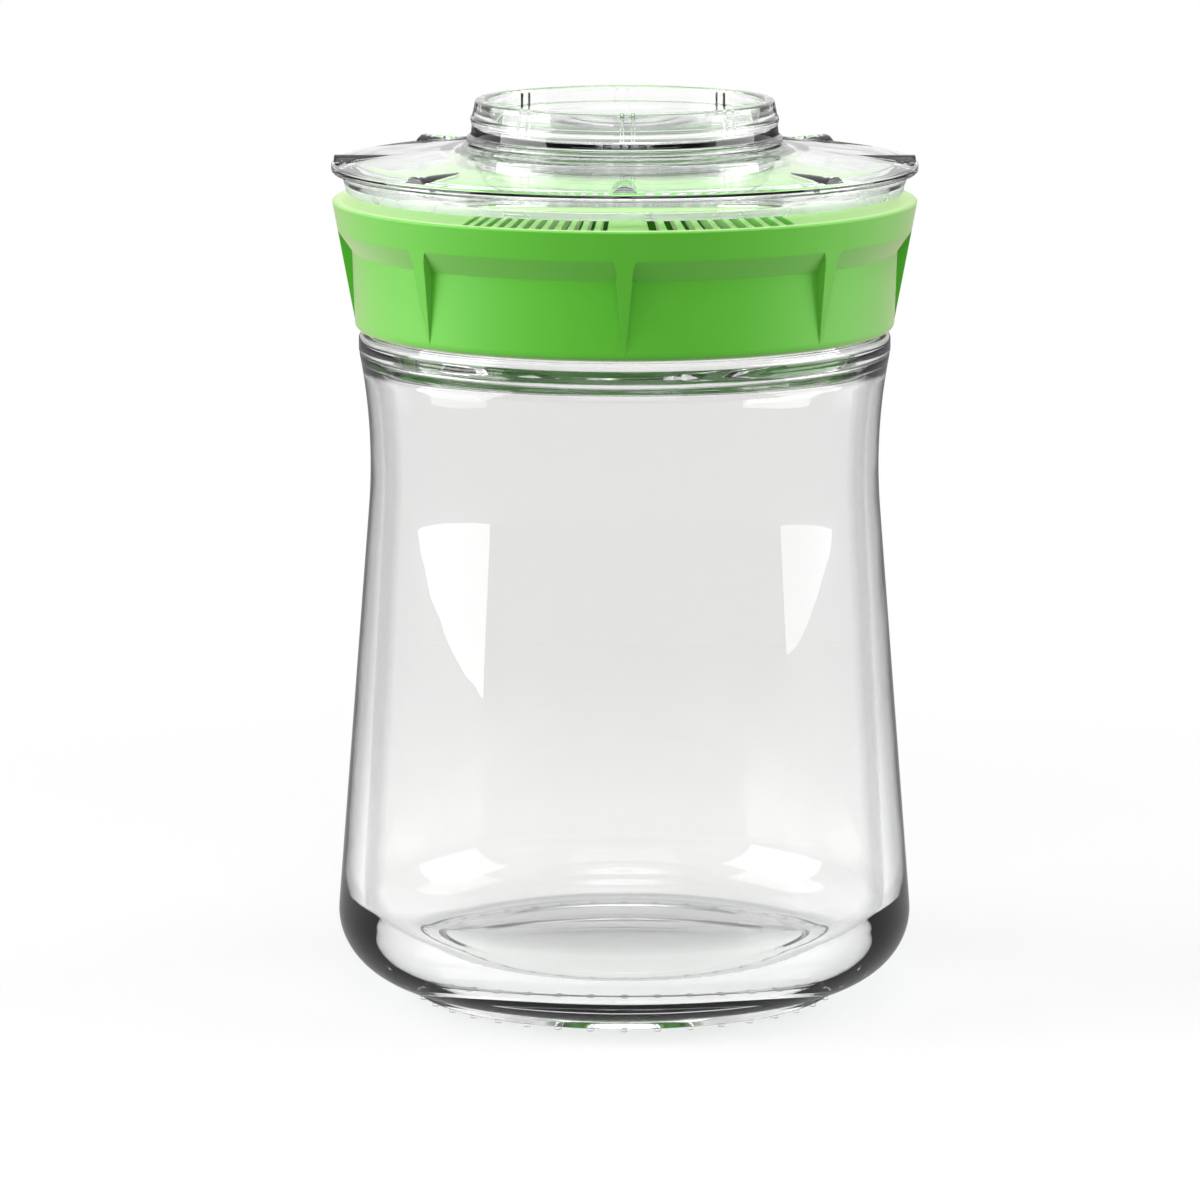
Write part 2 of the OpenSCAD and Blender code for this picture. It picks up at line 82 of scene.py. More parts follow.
COLLAR_TOP, COLLAR_RIM_R, COLLAR_LIP_R, COLLAR_BORE = 151.3, 55.007, 53.107, 48.3
DECK_RISE = 15.0

OPENING_R, TUBE_R, TUBE_Z = 27.3, 29.6, 149.797
FLANGE_R, FLANGE_Z, FLANGE_TOP = 55.107, 156.591, 158.191
SKIRT_R, SKIRT_LOW_R, SKIRT_IN, SKIRT_Z, SPIGOT_R = 53.307, 52.705, 50.605, 154.491, 51.696
SEAL_R, SEAL_Z, SEAL_H, SKIRT_LEAN = 52.246, 152.891, 1.6, 16.0
DOME_RISE, DOME_T, FILLET_R, SEAT_R, SEAT_Z = 6.5, 1.7, 34.5, 30.5, 161.694
RIDGES, RIDGE_W, RIDGE_H, RIDGE_END = 8, 5.0, 1.3, FLANGE_R - 0.5
COVER_PITCH, COVER_THREAD_D, COVER_TURNS, COVER_THREAD_Z = 3.0, 0.9, 1.0, TUBE_Z + 2.3

PLUG_R, PLUG_IN, PLUG_Z = 27.05, 23.6, 156.394
CAP_Z, CAP_TOP, CAP_FOOT_R, FOOT_T = 161.894, 169.994, 29.7, 1.2
CUP_R, CUP_IN, CUP_FLOOR_Z, CUP_FLOOR_T = 28.1, 26.1, 163.894, 1.5
VALVE_Z, VALVE_SEAT_R, CAP_TURN = 165.194, 7.0, 1.1
RING_Z, RING_R, RING_PATH_R, GROOVE_R = 158.594, 0.95, 26.25, 25.25
UMBRELLA_R, UMBRELLA_H, STEM_R, BULB_OUT = 6.0, 1.3, 1.5, 1.0
STEM_HOLE_R, GAS_HOLE_R, GAS_HOLES = 1.8, 0.7, 6


def dome_z(r):
    return FLANGE_TOP + (FLANGE_R - r) * tan(DOME_RISE)


# Mesh helpers
def rounded(points, radius, steps=4, least=12.0):
    """The closed outline with each corner over least degrees made a small arc. Points on the axis stay."""
    out, n = [], len(points)
    for i, p in enumerate(points):
        a, b = Vector(points[i - 1]), Vector(points[(i + 1) % n])
        c = Vector(p)
        u, v = a - c, b - c
        if p[0] < 1e-6 or u.length < 1e-6 or v.length < 1e-6:
            out.append(tuple(p))
            continue
        turn = math.degrees(math.pi - u.angle(v))
        if turn < least:
            out.append(tuple(p))
            continue
        cut = min(radius * math.tan(math.radians(turn / 2)), 0.42 * u.length, 0.42 * v.length)
        p0, p1 = c + u.normalized() * cut, c + v.normalized() * cut
        for k in range(steps + 1):
            t = k / steps
            q = p0 * (1 - t) ** 2 + c * (2 * t * (1 - t)) + p1 * t * t
            out.append((q.x, q.y))
    return out


def thread_height(az, z, depth, pitch, turns, z0):
    """How far a thread stands out of its wall at an azimuth in degrees and a height."""
    high = 0.0
    a = az % 360
    while a <= 360 * turns:
        ends = min(1.0, a / 27, (360 * turns - a) / 27)
        off = abs(z - z0 - pitch * a / 360)
        high = max(high, depth * ends * min(1.0, max(0.0, (0.31 * pitch - off) / (0.18 * pitch))))
        a += 360
    return high


def subdivided(a, b, step):
    """Points from a to b, without b, at most step apart."""
    n = max(1, math.ceil(math.dist(a, b) / step))
    return [(mix(a[0], b[0], i / n), mix(a[1], b[1], i / n)) for i in range(n)]


def mesh_object(name, verts, faces, weld=2e-6, sharp=40.0):
    """A smooth mesh object from points in millimetres, with doubles welded."""
    mesh = bpy.data.meshes.new(name)
    mesh.from_pydata([(x * MM, y * MM, z * MM) for x, y, z in verts], [], faces)
    bm = bmesh.new()
    bm.from_mesh(mesh)
    bmesh.ops.remove_doubles(bm, verts=bm.verts, dist=weld)
    bmesh.ops.dissolve_degenerate(bm, edges=bm.edges, dist=weld)
    bmesh.ops.recalc_face_normals(bm, faces=bm.faces)
    bm.to_mesh(mesh)
    bm.free()
    mesh.polygons.foreach_set("use_smooth", [True] * len(mesh.polygons))
    mesh.set_sharp_from_angle(angle=math.radians(sharp))
    mesh.update()
    obj = bpy.data.objects.new(name, mesh)
    scene.collection.objects.link(obj)
    return obj


def sweep(rows, closed=True):
    """Points and faces of a body of revolution. Each row is a list of points round the axis, or one on it."""
    verts, faces, first = [], [], []
    for row in rows:
        first.append((len(verts), len(row)))
        verts.extend(row)
    pairs = list(zip(first, first[1:])) + ([(first[-1], first[0])] if closed else [])
    for (a, na), (b, nb) in pairs:
        if na == 1 and nb == 1:
            continue
        n = max(na, nb)
        for i in range(n):
            j = (i + 1) % n
            if na == 1:
                faces.append((a, b + j, b + i))
            elif nb == 1:
                faces.append((a + i, a + j, b))
            else:
                faces.append((a + i, a + j, b + j, b + i))
    return verts, faces


def ring(r, z, columns):
    return [(0, 0, z)] if r < 1e-6 else [(r * sin(a), -r * cos(a), z) for a in columns]


def even(n):
    return [360 * i / n for i in range(n)]


def lathe(name, outline, segments=256):
    """A closed outline of (radius, height) turned round the axis."""
    return mesh_object(name, *sweep([ring(r, z, even(segments)) for r, z in outline]))


def add_bump(verts, faces, more_verts, more_faces):
    base = len(verts)
    verts.extend(more_verts)
    faces.extend(tuple(base + i for i in f) for f in more_faces)


# The jar
def flank():
    dr, dz = BEAD_R - 0.15 - WAIST_R, BEAD_Z - WAIST_Z
    bend = (dz * dz + dr * dr) / (2 * dr)
    lean = math.degrees(math.atan((BELLY_R - WAIST_R) / (WAIST_Z - BELLY_Z))) * 1.06
    return dz, bend, lean


WAIST_DZ, WAIST_BEND, LEAN = flank()
FLANK_TOP = (WAIST_R + WAIST_BEND * (1 - cos(LEAN)), WAIST_Z - WAIST_BEND * sin(LEAN))
HEEL_SWEEP = 81.5
HEEL_A = HEEL_W / (1 - cos(HEEL_SWEEP))
HEEL_B = (BELLY_Z - FOOT_H) / sin(HEEL_SWEEP)
HEEL_END = math.degrees(math.atan(tan(LEAN) * HEEL_B / HEEL_A))


def wall(z):
    if z > WAIST_Z:
        return mix(WALL_WAIST, WALL_SHOULDER, (z - WAIST_Z) / (BEAD_Z - WAIST_Z))
    return mix(WALL_WAIST, WALL_BASE, (WAIST_Z - z) / (WAIST_Z - BELLY_Z))


def jar_outline():
    heel = arc((BELLY_R - HEEL_A, BELLY_Z), HEEL_A, HEEL_B, -HEEL_SWEEP, HEEL_END, 40)
    waist = arc((WAIST_R + WAIST_BEND, WAIST_Z), WAIST_BEND, WAIST_BEND, 180 + LEAN,
                180 - math.degrees(math.asin(WAIST_DZ / WAIST_BEND)), 36)
    low = (0, STUD_H + PUNT_H)
    foot = [(FOOT_R - FOOT_W - PUNT_H, STUD_H + PUNT_H), (FOOT_R - FOOT_W, STUD_H), (FOOT_R - 0.3, STUD_H)]
    foot = rounded([low] + foot + [heel[0]], 0.5)[1:-1]
    flank_line = subdivided(heel[-1], waist[0], 4)[1:]
    bead = arc((BEAD_R - 1, BEAD_Z + 1), 1, 1, -40, 0, 6)
    shoulder = arc((BEAD_R - 1.2, BODY_H - 1.2), 1.2, 1.2, 0, 90, 10)
    root = rounded([(BEAD_R - 1.2, BODY_H), (NECK_R + 0.5, BODY_H + 0.1),
                    (NECK_R, BODY_H + 0.8), (NECK_R, BODY_H + 2)], 0.4)[1:-1]
    neck = subdivided((NECK_R, BODY_H + 1.2), (NECK_R, RIM_Z - 1), 0.3)[1:]
    rim = arc((NECK_R - 1, RIM_Z - 1), 1, 1, 0, 90, 8) + arc((NECK_IN + 1, RIM_Z - 1), 1, 1, 90, 180, 8)
    inner_low_z = FLOOR_Z + INNER_HEEL_H
    share = (inner_low_z - heel[-1][1]) / (FLANK_TOP[1] - heel[-1][1])
    inner_low_r = mix(heel[-1][0], FLANK_TOP[0], share) - wall(inner_low_z)
    inner_heel = arc((inner_low_r - INNER_HEEL_W, inner_low_z), INNER_HEEL_W, INNER_HEEL_H, -90, 0, 28)
    inner_waist = [(r - wall(z), z) for r, z in waist if z < BEAD_Z - 3]
    last = inner_waist[-1]
    inner_neck = [(mix(last[0], NECK_IN, ease(i / 14)), mix(last[1], BODY_H + 3, i / 14))
                  for i in range(1, 15)]
    inner = inner_heel[:-1] + subdivided(inner_heel[-1], inner_waist[0], 4) + inner_waist + inner_neck
    outer = [low] + foot + heel + flank_line + waist + bead + shoulder + root + neck + rim
    return outer + inner[::-1] + [(0, FLOOR_Z)]


def make_jar():
    columns = even(288)
    rows = []
    for r, z in jar_outline():
        if abs(r - NECK_R) < 1e-6 and z > BODY_H + 1:
            row = []
            for a in columns:
                out = r + thread_height(a - 90, z, JAR_THREAD_D, JAR_PITCH, JAR_TURNS, JAR_THREAD_Z)
                row.append((out * sin(a), -out * cos(a), z))
            rows.append(row)
        else:
            rows.append(ring(r, z, columns))
    verts, faces = sweep(rows, closed=False)
    for i in range(STUDS):
        a = 360 * i / STUDS
        x, y = (FOOT_R - 0.7) * sin(a), -(FOOT_R - 0.7) * cos(a)
        outline = [(0, 0)] + arc((STUD_R - 0.15, 0.15), 0.15, 0.15, -90, 0, 3)
        outline += [(STUD_R, STUD_H + 0.25), (0, STUD_H + 0.25)]
        stud_v, stud_f = sweep([ring(r, z, even(20)) for r, z in outline], closed=False)
        add_bump(verts, faces, [(x + p[0], y + p[1], p[2]) for p in stud_v], stud_f)
    return mesh_object("jar_glass_body", verts, faces)


# The cover, with its ridges
def ridge_columns(r):
    """Azimuths at radius r from a ridge's middle to midway to the next, each with the ridge's height there."""
    big = (RIDGE_W ** 2 / 4 + RIDGE_H ** 2) / (2 * RIDGE_H)
    high = RIDGE_H - (FLANGE_R - r) * tan(DOME_RISE)
    half = math.sqrt(max(0.0, big ** 2 - (big - min(high, big)) ** 2)) if high > 0 else 0.0
    half = max(half, 0.12)
    sweep_angle = math.asin(half / big)
    inner = [big * math.sin(sweep_angle * j / 9) for j in range(10)]
    angles = [math.degrees(math.asin(s / r)) for s in inner]
    last = angles[-1]
    outer = [last + (180 / RIDGES - last) * (j / 14) ** 1.15 for j in range(1, 15)]
    heights = [FLANGE_TOP + RIDGE_H - big + math.sqrt(big * big - s * s) for s in inner] + [None] * 14
    return angles + outer, heights


def ridge_row(r, lift):
    """Points round the axis at radius r on the dome. With lift the ridges stand on it."""
    angles, heights = ridge_columns(r)
    base = dome_z(r)
    half = [(a, max(base, h) if lift and h is not None else base) for a, h in zip(angles, heights)]
    row = []
    for k in range(RIDGES):
        middle = 360 * k / RIDGES
        one = [(middle - a, z) for a, z in half[:0:-1]][1:] + [(middle + a, z) for a, z in half]
        row += [(r * sin(a), -r * cos(a), z) for a, z in one]
    return row


def flange_columns():
    angles, _ = ridge_columns(RIDGE_END)
    out = []
    for k in range(RIDGES):
        middle = 360 * k / RIDGES
        out += [middle - a for a in angles[:0:-1]][1:] + [middle + a for a in angles]
    return out


def make_cover():
    under = [(OPENING_R, TUBE_Z + 0.4), (OPENING_R + 0.4, TUBE_Z),
             (TUBE_R - 0.3, TUBE_Z), (TUBE_R, TUBE_Z + 0.4)]
    tube = subdivided((TUBE_R, TUBE_Z + 0.7), (TUBE_R, dome_z(TUBE_R) - DOME_T - 1), 0.3)
    roof = rounded([(TUBE_R, dome_z(TUBE_R) - DOME_T - 3), (TUBE_R, dome_z(TUBE_R) - DOME_T),
                    (SKIRT_IN, dome_z(SKIRT_IN) - DOME_T), (SKIRT_IN, SKIRT_Z - 1), (SKIRT_IN, SEAL_Z + 0.75),
                    (SPIGOT_R, SEAL_Z + 0.75), (SPIGOT_R, SKIRT_Z),
                    (SKIRT_LOW_R, SKIRT_Z), (SKIRT_R, FLANGE_Z),
                    (FLANGE_R - 0.4, FLANGE_Z)], 0.3)[1:-1]
    roof = [q for p, n in zip(roof, roof[1:]) for q in subdivided(p, n, 2.5)] + [roof[-1]]
    edge = arc((FLANGE_R - 0.5, FLANGE_Z + 0.5), 0.5, 0.5, -90, 0, 7)
    edge += arc((FLANGE_R - 0.5, FLANGE_TOP - 0.5), 0.5, 0.5, 0, 80, 7)
    seat = arc((FILLET_R, SEAT_Z - 0.5), FILLET_R - SEAT_R, SEAT_Z - 0.5 - dome_z(FILLET_R), 270, 180, 14)[1:]
    seat += arc((SEAT_R - 0.5, SEAT_Z - 0.5), 0.5, 0.5, 0, 90, 6)[1:]
    bore = rounded([(SEAT_R - 0.6, SEAT_Z), (OPENING_R + 0.4, SEAT_Z),
                    (OPENING_R, SEAT_Z - 0.4), (OPENING_R, TUBE_Z + 4)], 0.2)[1:-1]
    bore += subdivided((OPENING_R, SEAT_Z - 1), (OPENING_R, TUBE_Z + 0.4), 2)
    columns = flange_columns()
    rows = [ring(r, z, columns) for r, z in under]
    for r, z in tube:
        row = []
        for a in columns:
            out = r + thread_height(a - 90, z, COVER_THREAD_D, COVER_PITCH, COVER_TURNS, COVER_THREAD_Z)
            row.append((out * sin(a), -out * cos(a), z))
        rows.append(row)
    rows += [ring(r, z, columns) for r, z in roof + edge]
    rows.append(ridge_row(RIDGE_END, False))
    top = ridge_row(RIDGE_END, True)
    flat = rows[-1]
    rows.append([(a[0], a[1], max(f[2], a[2] - 0.18)) for a, f in zip(top, flat)])
    rows.append(ridge_row(RIDGE_END - 0.18, True))
    steps = 34
    for i in range(1, steps + 1):
        rows.append(ridge_row(mix(RIDGE_END - 0.18, FILLET_R, i / steps), True))
    columns = [math.degrees(math.atan2(p[0], -p[1])) for p in rows[-1]]
    rows += [ring(r, z, columns) for r, z in seat + bore]
    verts, faces = sweep(rows)
    return mesh_object("cover_shell", verts, faces)


# The cap, its ring and its valve
def cap_columns():
    """Azimuths round the cap and, for each, how far a small rib stands in from the cup's wall."""
    out = []
    gap = math.degrees(math.asin(1.0 / CUP_IN))
    wide = math.degrees(0.35 / CUP_IN)
    for k in range(8):
        middle = 45 * k + CAP_TURN
        one = []
        for j in range(14, 0, -1):
            one.append((-(gap + wide) - (22.5 - gap - wide) * j / 14, 0.0))
        one = one[1:]
        for side in (-1, 1):
            for s in (-1, -0.86, -0.5, 0, 0.5, 0.86, 1):
                high = 0.0 if abs(s) == 1 else 0.1 + 0.35 * math.sqrt(1 - s * s)
                one.append((side * gap + wide * s, high))
            if side < 0:
                one += [(t * (gap - wide), 0.0) for t in (-0.5, 0, 0.5)]
        for j in range(1, 15):
            one.append((gap + wide + (22.5 - gap - wide) * j / 14, 0.0))
        out += [(middle + a, h) for a, h in one]
    return out


def floor_disc(columns):
    """Points and faces of the cap's flat middle, with its stem hole and gas holes."""
    holes = [((0, 0), STEM_HOLE_R, 32)]
    for k in range(GAS_HOLES):
        a = 360 * k / GAS_HOLES + CAP_TURN
        holes.append(((-0.65 * UMBRELLA_R * sin(a), 0.65 * UMBRELLA_R * cos(a)), GAS_HOLE_R, 20))
    loops = [[(VALVE_SEAT_R * sin(a), -VALVE_SEAT_R * cos(a)) for a in columns]]
    for (cx, cy), r, n in holes:
        loops.append([(cx + r * cos(360 * i / n), cy + r * sin(360 * i / n)) for i in range(n)])
    for r in (2.6, 5.2, 6.2):
        loops.append([(r * cos(a), r * sin(a)) for a in even(36)])
    points, edges, rings = [], [], []
    for k, loop in enumerate(loops):
        base = len(points)
        points += loop
        if k <= len(holes):
            edges += [(base + i, base + (i + 1) % len(loop)) for i in range(len(loop))]
            rings.append((base, len(loop)))
    keep = [i for i, p in enumerate(points)
            if i < rings[-1][0] + rings[-1][1] or all(math.dist(p, c) > r + 0.15 for c, r, _ in holes)]
    number = {old: new for new, old in enumerate(keep)}
    points = [points[i] for i in keep]
    edges = [(number[a], number[b]) for a, b in edges]
    made, _, tris, *_ = delaunay_2d_cdt([Vector(p) for p in points], edges, [], 1, 1e-7)
    made = [(p.x, p.y) for p in made]
    flat = []
    for t in tris:
        mx, my = sum(made[i][0] for i in t) / 3, sum(made[i][1] for i in t) / 3
        if all(math.dist((mx, my), c) > r * 0.985 for c, r, _ in holes):
            flat.append(tuple(t))
    verts = [(x, y, VALVE_Z) for x, y in made] + [(x, y, VALVE_Z - CUP_FLOOR_T) for x, y in made]
    n = len(made)
    faces = flat + [tuple(n + i for i in reversed(t)) for t in flat]
    for base, count in rings[1:]:
        loop = [number[base + i] for i in range(count)]
        after = loop[1:] + loop[:1]
        faces += [(a, b, n + b, n + a) for a, b in zip(loop, after)]
    return verts, faces


def make_cap():
    columns = cap_columns()
    angles = [a for a, _ in columns]
    bead = mix(CAP_Z + FOOT_T, CAP_TOP, 0.46)
    under = rounded([(VALVE_SEAT_R, VALVE_Z - CUP_FLOOR_T), (PLUG_IN, CUP_FLOOR_Z - CUP_FLOOR_T),
                     (PLUG_IN, PLUG_Z),
                     (PLUG_R - 0.4, PLUG_Z), (PLUG_R, PLUG_Z + 0.4),
                     (PLUG_R, RING_Z - RING_R - 0.1), (GROOVE_R, RING_Z - RING_R - 0.1),
                     (GROOVE_R, RING_Z + RING_R + 0.1), (PLUG_R, RING_Z + RING_R + 0.1),
                     (PLUG_R, CAP_Z), (CAP_FOOT_R - 0.3, CAP_Z),
                     (CAP_FOOT_R, CAP_Z + 0.3), (CAP_FOOT_R, CAP_Z + FOOT_T - 0.4)], 0.18, 3)[1:-1]
    side = arc((CAP_FOOT_R - 0.4, CAP_Z + FOOT_T - 0.4), 0.4, 0.4, 0, 80, 5)
    side += rounded([side[-1], (CUP_R + 0.8, CAP_Z + FOOT_T + 0.3),
                     (CUP_R + 0.6, bead - 0.9), (CUP_R + 0.75, bead - 0.6)], 0.3)[1:-1]
    side += arc((CUP_R + 0.45, bead), 0.4, 0.7, -70, 70, 9)
    side += rounded([side[-1], (CUP_R + 0.5, bead + 0.9), (CUP_R, CAP_TOP - 0.5)], 0.3)[1:-1]
    side += arc((CUP_R - 0.5, CAP_TOP - 0.5), 0.5, 0.5, 0, 90, 7)
    rim = arc((CUP_IN + 0.5, CAP_TOP - 0.5), 0.5, 0.5, 90, 180, 7)
    low = rounded([(CUP_IN, CUP_FLOOR_Z + 1.6), (CUP_IN, CUP_FLOOR_Z + 1),
                   (CUP_IN - 1, CUP_FLOOR_Z), (CUP_IN - 3, CUP_FLOOR_Z)], 0.6)[1:-1]
    low += [(mix(CUP_IN - 3, VALVE_SEAT_R, i / 18), mix(CUP_FLOOR_Z, VALVE_Z, ease(i / 18)))
            for i in range(19)]
    start = (VALVE_SEAT_R, VALVE_Z - CUP_FLOOR_T)
    rows = [ring(r, z, angles) for r, z in [start] + subdivided(start, under[0], 2)[1:] + under + side + rim]
    top, bottom = CAP_TOP - 0.6, CUP_FLOOR_Z + 0.6

    def wall_row(z, share):
        return [((CUP_IN - share * h) * sin(a), -(CUP_IN - share * h) * cos(a), z) for a, h in columns]

    rows += [wall_row(top, 0), wall_row(top, 0.7), wall_row(top - 0.15, 1)]
    rows += [wall_row(mix(top - 0.15, bottom + 0.4, i / 4), 1) for i in range(1, 5)]
    rows += [wall_row(bottom + 0.15, 1), wall_row(bottom, 0.7), wall_row(bottom, 0)]
    low = [p for p in low if p[1] < bottom - 0.02 or p[0] < CUP_IN - 1.5]
    rows += [ring(r, z, angles) for r, z in low]
    verts, faces = sweep(rows, closed=False)
    add_bump(verts, faces, *floor_disc(angles))
    return mesh_object("cap_cup", verts, faces)


def make_cap_ring():
    return lathe("cap_ring", arc((RING_PATH_R, RING_Z), RING_R, RING_R, 0, 360 - 360 / 28, 27), 192)


def make_valve():
    big = (UMBRELLA_R ** 2 + UMBRELLA_H ** 2) / (2 * UMBRELLA_H)
    half = math.degrees(math.asin(UMBRELLA_R / big))
    base, bulb = VALVE_Z + 0.1, VALVE_Z - CUP_FLOOR_T - 0.8 - 0.1
    low = rounded([(0, bulb - 1.1), (STEM_R, bulb - 1.1), (STEM_R + BULB_OUT, bulb - 0.4),
                   (STEM_R + BULB_OUT, bulb), (STEM_R, bulb), (STEM_R, base), (UMBRELLA_R - 0.2, base), (UMBRELLA_R - 0.22, base + 0.06)], 0.15, 3)[:-1]
    top = arc((0, base + UMBRELLA_H - big), big, big, 90 - half * 0.95, 90, 14)
    outline = low + top[:-1] + [(0, top[-1][1])]
    return mesh_object("valve_umbrella", *sweep([ring(r, z, even(96)) for r, z in outline], closed=False))


def make_cover_seal():
    lean, out_r, top, in_r = tan(SKIRT_LEAN), SEAL_R, SKIRT_Z - 0.1, SKIRT_IN + 0.1
    outline = rounded([(in_r, SEAL_Z + (out_r - in_r) * tan(DECK_RISE)), (out_r, SEAL_Z),
                       (out_r + (top - SEAL_Z) * lean, top),
                       (SPIGOT_R + 0.1, top), (SPIGOT_R + 0.1, SEAL_Z + 0.65), (in_r, SEAL_Z + 0.65)], 0.18, 4)
    return lathe("cover_seal_ring", outline, 256)


def make_gasket():
    outline = rounded([(NECK_IN + 0.6, RIM_Z + 0.1), (COLLAR_BORE - 0.2, RIM_Z + 0.1),
                       (COLLAR_BORE - 0.2, RIM_Z + 1.5), (NECK_IN + 0.6, RIM_Z + 1.5)], 0.25, 4)
    return lathe("gasket_ring", outline, 192)


# Materials
def new_material(name):
    m = bpy.data.materials.new(name)
    m.use_nodes = True
    m.node_tree.nodes.clear()
    return m, m.node_tree.nodes, m.node_tree.links


def ramp(nodes, stops, mode="EASE"):
    n = nodes.new("ShaderNodeValToRGB")
    n.color_ramp.interpolation = mode
    e = n.color_ramp.elements
    while len(e) < len(stops):
        e.new(0.5)
    for k, (at, c) in zip(e, stops):
        k.position = at
        k.color = (*c, 1) if len(c) == 3 else c
    return n


def noise(nodes, links, coords, scale, detail=2.0, rough=0.5):
    n = nodes.new("ShaderNodeTexNoise")
    n.inputs["Scale"].default_value = scale
    n.inputs["Detail"].default_value = detail
    n.inputs["Roughness"].default_value = rough
    links.new(coords.outputs["Object"], n.inputs["Vector"])
    return n


def clear_material(name, ior, stops, rough, wave, wave_strength, shadow):
    """Clear glass or plastic: its colour darkens towards grazing angles, which is painted shade on its edges,
    and its shadow is light.
    """
    m, nodes, links = new_material(name)
    out = nodes.new("ShaderNodeOutputMaterial")
    coords = nodes.new("ShaderNodeTexCoord")
    shader = nodes.new("ShaderNodeBsdfPrincipled")
    shader.inputs["Transmission Weight"].default_value = 1.0
    shader.inputs["IOR"].default_value = ior
    facing = nodes.new("ShaderNodeLayerWeight")
    facing.inputs["Blend"].default_value = 0.5
    # colour by facing: painted shade, darker towards the edges
    tint = ramp(nodes, stops, "LINEAR")
    links.new(facing.outputs["Facing"], tint.inputs["Fac"])
    links.new(tint.outputs["Color"], shader.inputs["Base Color"])
    fine = noise(nodes, links, coords, 900, 2)
    haze = nodes.new("ShaderNodeMapRange")
    haze.inputs["To Min"].default_value = rough[0]
    haze.inputs["To Max"].default_value = rough[1]
    links.new(fine.outputs["Fac"], haze.inputs["Value"])
    links.new(haze.outputs["Result"], shader.inputs["Roughness"])
    soft = noise(nodes, links, coords, wave, 1)
    bump = nodes.new("ShaderNodeBump")
    bump.inputs["Strength"].default_value = wave_strength
    bump.inputs["Distance"].default_value = 0.001
    links.new(soft.outputs["Fac"], bump.inputs["Height"])
    links.new(bump.outputs["Normal"], shader.inputs["Normal"])
    lets = nodes.new("ShaderNodeBsdfTransparent")
    lets.inputs["Color"].default_value = (*shadow, 1)
    light = nodes.new("ShaderNodeLightPath")
    blend = nodes.new("ShaderNodeMixShader")
    links.new(light.outputs["Is Shadow Ray"], blend.inputs["Fac"])
    links.new(shader.outputs["BSDF"], blend.inputs[1])
    links.new(lets.outputs["BSDF"], blend.inputs[2])
    links.new(blend.outputs["Shader"], out.inputs["Surface"])
    return m


def silicone_material():
    m, nodes, links = new_material("clear_silicone")
    out = nodes.new("ShaderNodeOutputMaterial")
    coords = nodes.new("ShaderNodeTexCoord")
    shader = nodes.new("ShaderNodeBsdfPrincipled")
    shader.inputs["Transmission Weight"].default_value = 0.75
    shader.inputs["IOR"].default_value = 1.41
    cloud = noise(nodes, links, coords, 160, 3)
    tint = ramp(nodes, [(0.3, (0.86, 0.88, 0.87)), (0.7, (0.94, 0.95, 0.94))])
    links.new(cloud.outputs["Fac"], tint.inputs["Fac"])
    links.new(tint.outputs["Color"], shader.inputs["Base Color"])
    rough = nodes.new("ShaderNodeMapRange")
    rough.inputs["To Min"].default_value = 0.22
    rough.inputs["To Max"].default_value = 0.36
    links.new(cloud.outputs["Fac"], rough.inputs["Value"])
    links.new(rough.outputs["Result"], shader.inputs["Roughness"])
    fine = noise(nodes, links, coords, 1500, 2)
    bump = nodes.new("ShaderNodeBump")
    bump.inputs["Strength"].default_value = 0.15
    bump.inputs["Distance"].default_value = 0.0001
    links.new(fine.outputs["Fac"], bump.inputs["Height"])
    links.new(bump.outputs["Normal"], shader.inputs["Normal"])
    links.new(shader.outputs["BSDF"], out.inputs["Surface"])
    return m


def green_material():
    """Satin moulded plastic: green with a slight drift in tone, a fine grain and a soft pale sheen."""
    m, nodes, links = new_material("green_plastic")
    out = nodes.new("ShaderNodeOutputMaterial")
    coords = nodes.new("ShaderNodeTexCoord")
    shader = nodes.new("ShaderNodeBsdfPrincipled")
    drift = noise(nodes, links, coords, 22, 2)
    tone = ramp(nodes, [(0.3, (0.066, 0.455, 0.003)), (0.7, (0.078, 0.490, 0.005))])
    links.new(drift.outputs["Fac"], tone.inputs["Fac"])
    links.new(tone.outputs["Color"], shader.inputs["Base Color"])
    grain = noise(nodes, links, coords, 2600, 3, 0.6)
    rough = nodes.new("ShaderNodeMapRange")
    rough.inputs["To Min"].default_value = 0.40
    rough.inputs["To Max"].default_value = 0.52
    links.new(grain.outputs["Fac"], rough.inputs["Value"])
    links.new(rough.outputs["Result"], shader.inputs["Roughness"])
    shader.inputs["Sheen Weight"].default_value = 0.75
    shader.inputs["Sheen Roughness"].default_value = 0.5
    shader.inputs["Sheen Tint"].default_value = (1.0, 0.80, 0.74, 1)
    bump = nodes.new("ShaderNodeBump")
    bump.inputs["Strength"].default_value = 0.35
    bump.inputs["Distance"].default_value = 0.00006
    links.new(grain.outputs["Fac"], bump.inputs["Height"])
    edge = nodes.new("ShaderNodeBevel")
    edge.samples = 4
    edge.inputs["Radius"].default_value = 0.00035
    links.new(edge.outputs["Normal"], bump.inputs["Normal"])
    links.new(bump.outputs["Normal"], shader.inputs["Normal"])
    links.new(shader.outputs["BSDF"], out.inputs["Surface"])
    return m


def paint(obj, material, slot):
    obj.data.materials.clear()
    obj.data.materials.append(material)


